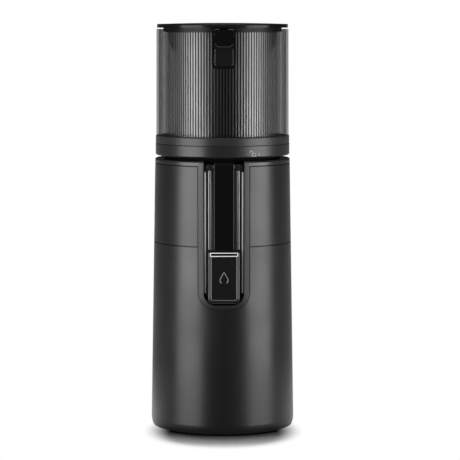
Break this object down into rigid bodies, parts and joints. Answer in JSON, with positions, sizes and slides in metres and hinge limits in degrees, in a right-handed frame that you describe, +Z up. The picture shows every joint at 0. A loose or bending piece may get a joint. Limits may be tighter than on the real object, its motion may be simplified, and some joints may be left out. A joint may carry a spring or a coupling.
{
  "type": "cold press juicer",
  "caption": "Slim upright cold press juicer: tapered round body, lift-out juicing chamber with a front juice lever, bayonet hopper with ribbed liner, hinged latched lid.",
  "frame": {"origin": "on the upright axis at table level, under the feet", "axes": "+Z up, the front with the juice lever faces -Y, +X to the right seen from the front"},
  "size_m": [0.1566, 0.1566, 0.4412],
  "materials": {
    "graphite_shell": "satin graphite",
    "satin_trim": "satin",
    "black_inner": "moulded",
    "rubber": "moulded",
    "screw_steel": "plain",
    "motor_steel": "painted",
    "laminations": "stamped",
    "copper_wire": "enamelled",
    "gear_steel": "cut",
    "gearbox_shell": "die-cast",
    "fan_plastic": "moulded",
    "board": "laminate",
    "sensor": "potted",
    "magnet": "plated",
    "screen_steel": "perforated",
    "auger_plastic": "moulded",
    "bright_edge": "polished",
    "lever_plastic": "satin",
    "piano_black": "gloss",
    "smoked_clear": "clear, smoked",
    "smoked_liner": "ribbed, smoked",
    "black_gloss": "gloss"
  },
  "bodies": {
    "base": {"lower_housing": "graphite_shell", "upper_housing": "graphite_shell", "trim_frame": "satin_trim", "chamber_well": "black_inner", "pulp_chute": "black_inner", "shaft_seal": "rubber", "base_plate": "black_inner", "rubber_feet": "rubber", "base_screws": "screw_steel", "motor_dampers": "rubber", "motor_housing": "motor_steel", "stator_core": "laminations", "stator_windings": "copper_wire", "bearings": "screw_steel", "gearbox_case": "gearbox_shell", "gearbox_cover": "gearbox_shell", "ring_gear": "gear_steel", "control_board": "board", "reed_sensor": "sensor", "switch_bezel": "black_inner", "cord_gland": "black_inner"},
    "rotor": {"rotor_core": "laminations", "motor_shaft": "gear_steel", "cooling_fan": "fan_plastic"},
    "carrier": {"first_carrier": "gear_steel"},
    "drive": {"output_shaft": "gear_steel"},
    "chamber": {"chamber_drum": "black_inner", "drum_seal": "rubber", "strainer": "screen_steel", "chamber_ring": "satin_trim", "spout_housing": "black_inner", "interlock_magnet": "magnet", "spout_edge_trims": "bright_edge", "lever_pin": "screw_steel"},
    "juice_cap": {"cap_lever": "lever_plastic", "lever_panel": "piano_black", "cap_head": "lever_plastic", "cap_ledge": "bright_edge", "cap_plug": "rubber"},
    "screw": {"auger": "auger_plastic", "feed_blade": "auger_plastic"},
    "hopper": {"hopper_collar": "satin_trim", "hopper_wall": "smoked_clear", "hopper_liner": "smoked_liner", "lid_hinge_bracket": "black_gloss", "lid_hinge_pin": "screw_steel", "latch_bezel": "piano_black"},
    "lid": {"lid_disc": "smoked_clear", "lid_dish": "black_gloss", "lid_seal": "rubber", "latch_pin": "screw_steel"},
    "latch": {"latch_lever": "lever_plastic", "latch_pad": "piano_black"},
    "power_rocker": {"rocker": "black_inner"},
    "first_planet_1_gear": {"first_planet_1": "gear_steel"},
    "first_planet_2_gear": {"first_planet_2": "gear_steel"},
    "first_planet_3_gear": {"first_planet_3": "gear_steel"},
    "second_planet_1_gear": {"second_planet_1": "gear_steel"},
    "second_planet_2_gear": {"second_planet_2": "gear_steel"},
    "second_planet_3_gear": {"second_planet_3": "gear_steel"}
  },
  "joints": [
    {"name": "motor_spin", "type": "hinge", "parent": "base", "child": "rotor", "pos_m": [0, 0, 0.06], "axis": [0, 0, 1], "continuous": true},
    {"name": "carrier_spin", "type": "hinge", "parent": "base", "child": "carrier", "pos_m": [0, 0, 0.13], "axis": [0, 0, 1], "continuous": true},
    {"name": "drive_spin", "type": "hinge", "parent": "base", "child": "drive", "pos_m": [0, 0, 0.17], "axis": [0, 0, 1], "continuous": true},
    {"name": "chamber_lift", "type": "slide", "parent": "base", "child": "chamber", "axis": [0, 0, 1], "range_m": [0, 0.16]},
    {"name": "screw_spin", "type": "hinge", "parent": "chamber", "child": "screw", "pos_m": [0, 0, 0.25], "axis": [0, 0, 1], "continuous": true},
    {"name": "juice_lever_turn", "type": "hinge", "parent": "chamber", "child": "juice_cap", "pos_m": [0, -0.0718, 0.2885], "axis": [-1, 0, 0], "range_deg": [0, 50]},
    {"name": "hopper_turn", "type": "hinge", "parent": "chamber", "child": "hopper", "pos_m": [0, 0, 0.305], "axis": [0, 0, -1], "range_deg": [0, 25]},
    {"name": "lid_turn", "type": "hinge", "parent": "hopper", "child": "lid", "pos_m": [0, 0.0752, 0.4324], "axis": [-1, 0, 0], "range_deg": [0, 95]},
    {"name": "latch_turn", "type": "hinge", "parent": "lid", "child": "latch", "pos_m": [0, -0.074, 0.4322], "axis": [-1, 0, 0], "range_deg": [0, 45]},
    {"name": "power_rock", "type": "hinge", "parent": "base", "child": "power_rocker", "pos_m": [0, 0.06997, 0.066], "axis": [1, 0, 0], "range_deg": [-12, 12]},
    {"name": "first_planet_1_spin", "type": "hinge", "parent": "carrier", "child": "first_planet_1_gear", "pos_m": [0.0225, 0, 0.12], "axis": [0, 0, 1], "continuous": true},
    {"name": "first_planet_2_spin", "type": "hinge", "parent": "carrier", "child": "first_planet_2_gear", "pos_m": [-0.01125, 0.01949, 0.12], "axis": [0, 0, 1], "continuous": true},
    {"name": "first_planet_3_spin", "type": "hinge", "parent": "carrier", "child": "first_planet_3_gear", "pos_m": [-0.01125, -0.01949, 0.12], "axis": [0, 0, 1], "continuous": true},
    {"name": "second_planet_1_spin", "type": "hinge", "parent": "drive", "child": "second_planet_1_gear", "pos_m": [0.0225, 0, 0.14], "axis": [0, 0, 1], "continuous": true},
    {"name": "second_planet_2_spin", "type": "hinge", "parent": "drive", "child": "second_planet_2_gear", "pos_m": [-0.01125, 0.01949, 0.14], "axis": [0, 0, 1], "continuous": true},
    {"name": "second_planet_3_spin", "type": "hinge", "parent": "drive", "child": "second_planet_3_gear", "pos_m": [-0.01125, -0.01949, 0.14], "axis": [0, 0, 1], "continuous": true}
  ],
  "couplings": [
    {"joint": "carrier_spin", "follows": "motor_spin", "ratio": 0.2},
    {"joint": "drive_spin", "follows": "motor_spin", "ratio": 0.04},
    {"joint": "screw_spin", "follows": "motor_spin", "ratio": 0.04},
    {"joint": "first_planet_1_spin", "follows": "motor_spin", "ratio": -0.53333},
    {"joint": "first_planet_2_spin", "follows": "motor_spin", "ratio": -0.53333},
    {"joint": "first_planet_3_spin", "follows": "motor_spin", "ratio": -0.53333},
    {"joint": "second_planet_1_spin", "follows": "motor_spin", "ratio": -0.10667},
    {"joint": "second_planet_2_spin", "follows": "motor_spin", "ratio": -0.10667},
    {"joint": "second_planet_3_spin", "follows": "motor_spin", "ratio": -0.10667}
  ]
}
